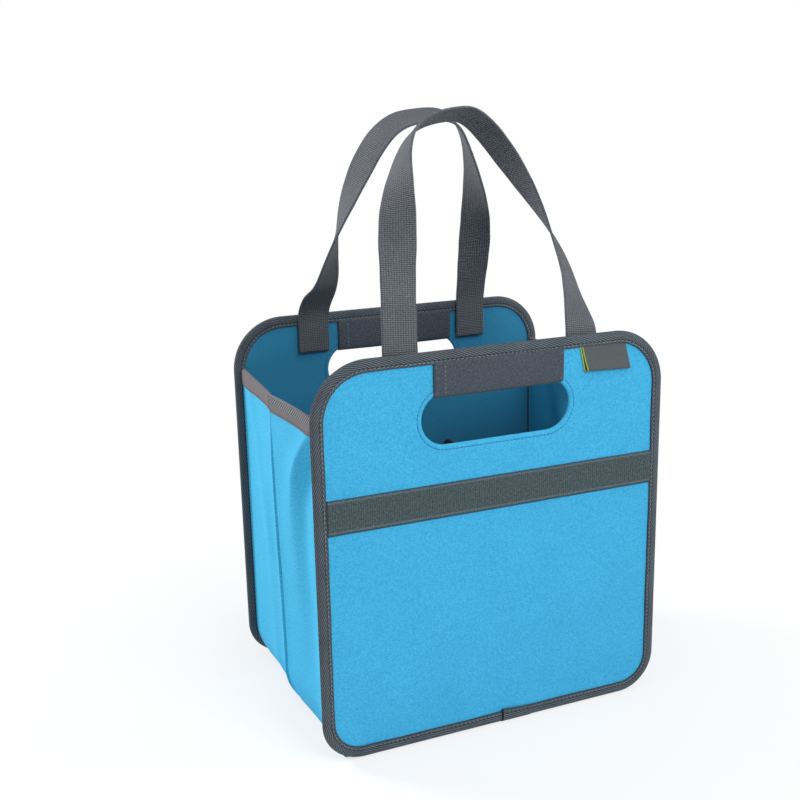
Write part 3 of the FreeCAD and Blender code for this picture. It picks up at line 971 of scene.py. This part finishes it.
def soft_board(name, loop, thick, place, mat, node, edge=0.9):
    """A covered board: outline loop in its own plane, rounded at every edge."""
    bm = bmesh.new()
    verts = [bm.verts.new((a, 0, b)) for a, b in loop]
    face = bm.faces.new(verts)
    made = bmesh.ops.extrude_face_region(bm, geom=[face])
    moved = [g for g in made["geom"] if isinstance(g, bmesh.types.BMVert)]
    bmesh.ops.translate(bm, verts=moved, vec=(0, thick, 0))
    bmesh.ops.translate(bm, verts=bm.verts, vec=(0, -thick / 2, 0))
    bmesh.ops.recalc_face_normals(bm, faces=bm.faces)
    rims = [e for e in bm.edges if abs(e.verts[0].co.y - e.verts[1].co.y) < 0.01]
    bmesh.ops.bevel(bm, geom=rims, offset=edge, segments=3, profile=0.6, affect="EDGES")
    bmesh.ops.triangulate(bm, faces=[f for f in bm.faces if len(f.verts) > 4])
    coords = np.array([v.co[:] for v in bm.verts])
    index = {v: i for i, v in enumerate(bm.verts)}
    faces = [tuple(index[v] for v in f.verts) for f in bm.faces]
    bm.free()
    lay = np.stack([coords[:, 0], coords[:, 2], coords[:, 1]], 1)
    return piece(name, place(coords), faces, lay, mat, [node], smooth=False)


def top_corner(edge, start, end):
    """A divider's rounded upper corner, where its end stands at edge."""
    x, z = edge - math.copysign(DIV_CORNER, edge), DIV_TOP - DIV_CORNER
    a = np.radians(np.linspace(start, end, 8))
    return [(x + DIV_CORNER * math.cos(k), z + DIV_CORNER * math.sin(k)) for k in a]


def long_divider(mat):
    """Board down the middle, its ends following the walls, slotted from above."""
    ends = [(float(-wall_x(0.0, z)) - 2.4, z) for z in np.linspace(150, DIV_LOW, 14)]
    gap = DIV_SLOT
    loop = ends + [(-x, z) for x, z in ends[::-1]]
    top = ends[0][0]
    loop += top_corner(-top, 180, 90)[1:]
    for x in (-CELL_X, CELL_X):
        loop += [(x - gap, DIV_TOP), (x - gap, LAP_HEIGHT), (x + gap, LAP_HEIGHT), (x + gap, DIV_TOP)]
    loop += top_corner(top, 90, 0)[:-1]
    return soft_board("long_divider_cover", loop, DIV_T, lambda c: c, mat, "long_divider")


def cross_divider(name, x, mat, node):
    """Board from panel to panel, slotted from below over the long one."""
    reach, gap = CROSS_REACH, DIV_SLOT
    loop = [(-reach, DIV_LOW), (-gap, DIV_LOW), (-gap, LAP_HEIGHT + 0.2), (gap, LAP_HEIGHT + 0.2),
            (gap, DIV_LOW), (reach, DIV_LOW)]
    loop += top_corner(reach, 0, 90) + top_corner(-reach, 90, 180)

    def turn(c):
        return np.stack([x - c[:, 1], c[:, 0], c[:, 2]], 1)
    return soft_board(name, loop, DIV_T, turn, mat, node)


def base(mat):
    """Base board between the walls and the panels."""
    loop = [(-BASE_X, -BASE_Y), (BASE_X, -BASE_Y), (BASE_X, BASE_Y), (-BASE_X, BASE_Y)]

    def lay_flat(c):
        return np.stack([c[:, 0], c[:, 2], c[:, 1] + BASE_MID], 1)
    return soft_board("base_cover", loop, BASE_T, lay_flat, mat, "base_board", edge=1.2)


# --- Floor, light and view ---

# Floor, in metres: half its side, how far under the bag it lies, and the ring over which it turns
# white, with how white it is inside
FLOOR_HALF, FLOOR_DROP = 8.0, 0.0002
GLOW = {"From Min": 0.15, "From Max": 0.42, "To Min": 0.68}
WORLD_LEVEL = 0.34
# Name, place and size in metres, watts
LIGHTS = (("side", (-1.5, 1.5, 1.3), 0.6, 46), ("front", (0.3, -1.5, 1.3), 0.9, 21),
          ("right", (1.4, -0.6, 1.5), 0.8, 11), ("top", (-0.2, -0.4, 2.3), 1.0, 8))


def floor():
    """Pale floor that keeps the bag's shadow and turns white, to the camera, away from it."""
    mesh = bpy.data.meshes.new("floor")
    r = FLOOR_HALF
    mesh.from_pydata([(-r, -r, 0), (r, -r, 0), (r, r, 0), (-r, r, 0)], [], [(0, 1, 2, 3)])
    obj = bpy.data.objects.new("floor", mesh)
    obj.location.z = -FLOOR_DROP
    bpy.context.scene.collection.objects.link(obj)
    mat = bpy.data.materials.new("floor")
    mat.use_nodes = True
    tree = mat.node_tree
    shader = tree.nodes["Principled BSDF"]
    shader.inputs["Base Color"].default_value = (0.80, 0.82, 0.83, 1)
    shader.inputs["Roughness"].default_value = 0.9
    shader.inputs["Specular IOR Level"].default_value = 0.1
    white = tree.nodes.new("ShaderNodeEmission")
    path = tree.nodes.new("ShaderNodeLightPath")
    coords = tree.nodes.new("ShaderNodeTexCoord")
    size = tree.nodes.new("ShaderNodeVectorMath")
    size.operation = "LENGTH"
    tree.links.new(coords.outputs["Object"], size.inputs[0])
    far = tree.nodes.new("ShaderNodeMapRange")
    far.interpolation_type = "SMOOTHSTEP"
    for key, value in GLOW.items():
        far.inputs[key].default_value = value
    tree.links.new(size.outputs["Value"], far.inputs["Value"])
    seen = tree.nodes.new("ShaderNodeMath")
    seen.operation = "MULTIPLY"
    tree.links.new(path.outputs["Is Camera Ray"], seen.inputs[0])
    tree.links.new(far.outputs[0], seen.inputs[1])
    mix = tree.nodes.new("ShaderNodeMixShader")
    tree.links.new(seen.outputs[0], mix.inputs[0])
    tree.links.new(shader.outputs[0], mix.inputs[1])
    tree.links.new(white.outputs[0], mix.inputs[2])
    tree.links.new(mix.outputs[0], tree.nodes["Material Output"].inputs["Surface"])
    mesh.materials.append(mat)


def world():
    """White to the camera, and a soft even light on the bag."""
    w = bpy.data.worlds.new("world")
    bpy.context.scene.world = w
    w.use_nodes = True
    tree = w.node_tree
    lit = tree.nodes["Background"]
    lit.inputs["Color"].default_value = (1, 1, 1, 1)
    lit.inputs["Strength"].default_value = WORLD_LEVEL
    seen = tree.nodes.new("ShaderNodeBackground")
    seen.inputs["Color"].default_value = (1, 1, 1, 1)
    path = tree.nodes.new("ShaderNodeLightPath")
    either = tree.nodes.new("ShaderNodeMath")
    either.operation = "MAXIMUM"
    tree.links.new(path.outputs["Is Camera Ray"], either.inputs[0])
    tree.links.new(path.outputs["Is Transmission Ray"], either.inputs[1])
    mix = tree.nodes.new("ShaderNodeMixShader")
    tree.links.new(either.outputs[0], mix.inputs[0])
    tree.links.new(lit.outputs[0], mix.inputs[1])
    tree.links.new(seen.outputs[0], mix.inputs[2])
    tree.links.new(mix.outputs[0], tree.nodes["World Output"].inputs["Surface"])


def area_light(name, at, size, watts):
    data = bpy.data.lights.new(name, "AREA")
    data.energy = watts
    data.size = size
    obj = bpy.data.objects.new(name, data)
    bpy.context.scene.collection.objects.link(obj)
    way = Vector((0, 0, 0.15)) - Vector(at)
    obj.rotation_mode = "QUATERNION"
    obj.rotation_quaternion = way.to_track_quat("-Z", "Y")
    obj.location = at


# --- Making ---

add_camera()

# The panels' inner faces get painted shade, the darker inside colour.
panel_cloth = plain_weave("panel cloth", srgb(58, 168, 214), srgb(36, 136, 184), srgb(84, 192, 232),
                          inside=srgb(34, 108, 142))
# Painted light: the side walls take the panels' blue cloth in a lighter, more cyan copy, for the stronger
# light falling on them.
lit_wall_cloth = plain_weave("side wall cloth", srgb(62, 181, 226), srgb(38, 152, 202), srgb(90, 208, 244),
                         fleck=0.75)
lining_cloth = plain_weave("lining cloth", srgb(70, 76, 84), srgb(52, 58, 66), srgb(90, 96, 104))
RIBBON_DARK, RIBBON_LIGHT = srgb(26, 34, 44), srgb(102, 112, 120)
ribbon_twill = twill("ribbon twill", RIBBON_DARK, RIBBON_LIGHT)
lap_twill = twill("ribbon lap twill", RIBBON_DARK, RIBBON_LIGHT, cut=LAP_X + 1.0)
sleeve_cloth = plain_weave("sleeve cloth", srgb(62, 70, 79), srgb(40, 47, 56), srgb(88, 96, 106),
                           pitch=0.7, fleck=0.8)
hem_twill = hem_cloth("hem cloth", srgb(122, 116, 120), srgb(90, 84, 88), srgb(66, 68, 74),
                      srgb(150, 152, 155))
strap_web = webbing("strap webbing", srgb(36, 42, 50), srgb(108, 113, 120))
# The band's last colour is painted shade along its edges.
band_elastic = elastic("band elastic", srgb(38, 51, 56), srgb(74, 90, 93), srgb(26, 60, 84))
label_cloth = label_weave("label weave", srgb(62, 68, 70), srgb(88, 94, 96), srgb(150, 172, 62))
grey_thread = thread("grey thread", srgb(150, 156, 160), srgb(104, 110, 116))
blue_thread = thread("blue thread", srgb(34, 96, 136), srgb(22, 70, 104))
dark_thread = thread("dark thread", srgb(112, 114, 118), srgb(74, 78, 84))

for word, side in (("front", -1), ("back", 1)):
    panel(word + "_panel_cloth", side, word + "_panel", panel_cloth)
    hole_stitches(word + "_hole_stitches", side, blue_thread)
    ribbon(word + "_ribbon", side, word + "_binding", ribbon_twill)
    ribbon_lap(word + "_ribbon_lap", side, lap_twill)
    ribbon_stitches(word + "_ribbon_stitches", side, grey_thread)
    sleeve(word + "_sleeve", side, word + "_grip_sleeve", sleeve_cloth)
    sleeve_stitches(word + "_sleeve_stitches", side, grey_thread)
band("front_band", "front_elastic_band", band_elastic)
label("front_label", "edge_label", label_cloth)
for word, side in (("left", -1), ("right", 1)):
    wall = gusset(word + "_wall", side, word + "_gusset", lit_wall_cloth)
    top = hem(word + "_hem", side, word + "_gusset_hem", hem_twill)
    seam = hem_stitches(word + "_hem_stitches", side, dark_thread)
handle("front_strap", FRONT_LINE, FRONT_TURNS, -1, "front_handle", strap_web)
handle("back_strap", BACK_LINE, BACK_TURNS, 1, "back_handle", strap_web)
seam_stitches("strap_seam_stitches", dark_thread)
long_divider(lining_cloth)
cross_divider("left_divider_cover", -CELL_X, lining_cloth, "cross_divider_left")
cross_divider("right_divider_cover", CELL_X, lining_cloth, "cross_divider_right")
base(lining_cloth)

floor()
world()
for light in LIGHTS:
    area_light(*light)
bpy.context.scene.view_settings.view_transform = "Standard"
